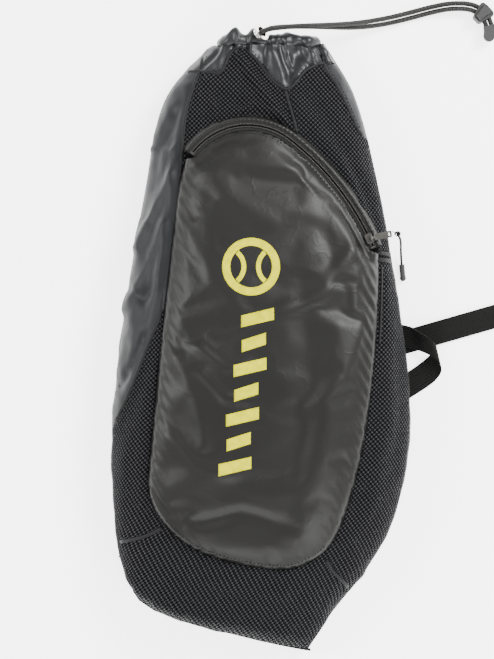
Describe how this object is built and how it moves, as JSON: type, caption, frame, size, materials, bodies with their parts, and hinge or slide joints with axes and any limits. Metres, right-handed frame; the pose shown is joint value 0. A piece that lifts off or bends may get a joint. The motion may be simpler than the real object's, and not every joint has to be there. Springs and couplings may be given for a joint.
{
  "type": "racket backpack",
  "caption": "Soft mesh and nylon racket backpack with a drawstring mouth, zipped front pocket and shoulder straps, lying on its back.",
  "frame": {"origin": "on the flat underside of the back panel, under the middle of the bag", "axes": "+Z out of the front pocket, +Y towards the drawstring mouth, +X to the wearer's right"},
  "size_m": [0.4278, 0.6956, 0.0971],
  "materials": {
    "nylon_side": "satin woven nylon, dark slate",
    "nylon_pocket": "coated nylon with a soft sheen",
    "spacer_mesh": "open spacer mesh",
    "collar_nylon": "satin nylon, gathered",
    "back_fabric": "padded matte nylon",
    "piping": "woven binding",
    "zip_tape": "woven zip tape",
    "zip_coil": "nylon coil",
    "gunmetal": "gunmetal plate, worn",
    "bright_wire": "bright wire",
    "silver": "satin silver",
    "cord_braid": "braided black cord with light flecks",
    "soft_cord": "tight black cord",
    "grip_rubber": "moulded rubber",
    "black_plastic": "moulded black plastic",
    "spring_steel": "spring wire",
    "webbing": "woven webbing",
    "foam": "closed-cell foam"
  },
  "bodies": {
    "bag": {"back_panel": "back_fabric", "mouth_collar": "collar_nylon", "pocket_lining": "nylon_pocket", "base_mesh_panel": "spacer_mesh", "left_side_panel": "nylon_side", "left_mesh_panel": "spacer_mesh", "right_side_strip": "nylon_side", "upper_front_mesh": "spacer_mesh", "right_mesh_panel": "spacer_mesh", "pocket_panel": "nylon_pocket", "pocket_facing": "nylon_pocket", "zip_tape_outer": "zip_tape", "zip_tape_inner": "zip_tape", "zip_coil_outer": "zip_coil", "zip_coil_inner": "zip_coil", "zip_stops": "gunmetal", "zip_tape_ends": "zip_tape", "collar_hem": "collar_nylon", "tunnel_cord": "cord_braid", "grommet": "silver", "draw_cord_a": "cord_braid", "draw_cord_b": "cord_braid", "cord_end_sleeve": "black_plastic", "base_piping": "piping", "strap_yoke": "webbing", "left_lower_webbing": "webbing", "left_anchor_tab": "webbing", "right_lower_webbing": "webbing", "right_anchor_tab": "webbing"},
    "slider": {"slider_body": "gunmetal"},
    "pull_tab": {"pull_tab": "gunmetal"},
    "pull_end": {"pull_ring": "bright_wire", "pull_cord": "soft_cord", "pull_grip": "grip_rubber"},
    "cord_lock": {"cord_lock_body": "black_plastic", "cord_lock_spring": "spring_steel"},
    "lock_button": {"cord_lock_button": "black_plastic"},
    "left_strap": {"left_shoulder_strap": "back_fabric", "left_strap_foam": "foam", "left_ladder_lock": "black_plastic", "left_lock_webbing": "webbing", "left_webbing_tail": "webbing"},
    "right_strap": {"right_shoulder_strap": "back_fabric", "right_strap_foam": "foam", "right_ladder_lock": "black_plastic", "right_lock_webbing": "webbing", "right_webbing_tail": "webbing"}
  },
  "joints": [
    {"name": "slider_travel", "type": "hinge", "parent": "bag", "child": "slider", "pos_m": [-0.14205, -0.01468, 0.0725], "axis": [0, 0, 1], "range_deg": [0, 25.9]},
    {"name": "pull_tab_tilt", "type": "hinge", "parent": "slider", "child": "pull_tab", "pos_m": [0.11359, 0.10428, 0.0791], "axis": [0.225, -0.9744, 0], "range_deg": [0, 106]},
    {"name": "pull_end_swing", "type": "hinge", "parent": "pull_tab", "child": "pull_end", "pos_m": [0.1325, 0.10864, 0.06551], "axis": [0, 0, 1], "range_deg": [0, 80]},
    {"name": "cord_lock_travel", "type": "hinge", "parent": "bag", "child": "cord_lock", "pos_m": [0.216, 0.327, 0.0125], "axis": [0, 0, 1], "range_deg": [0, 24]},
    {"name": "lock_button_press", "type": "slide", "parent": "cord_lock", "child": "lock_button", "axis": [0, 0, -1], "range_m": [0, 0.0032], "stiffness_N_per_m": 900, "springref_m": -0.001, "deforming": ["cord_lock_spring"]},
    {"name": "right_strap_swing", "type": "hinge", "parent": "bag", "child": "right_strap", "pos_m": [0.037, 0.264, 0.0106], "axis": [1, 0, 0], "range_deg": [0, 15]},
    {"name": "left_strap_swing", "type": "hinge", "parent": "bag", "child": "left_strap", "pos_m": [-0.037, 0.264, 0.0106], "axis": [1, 0, 0], "range_deg": [0, 15]}
  ],
  "couplings": [
    {"joint": "pull_tab_tilt", "follows": "slider_travel", "ratio": 4.05}
  ]
}
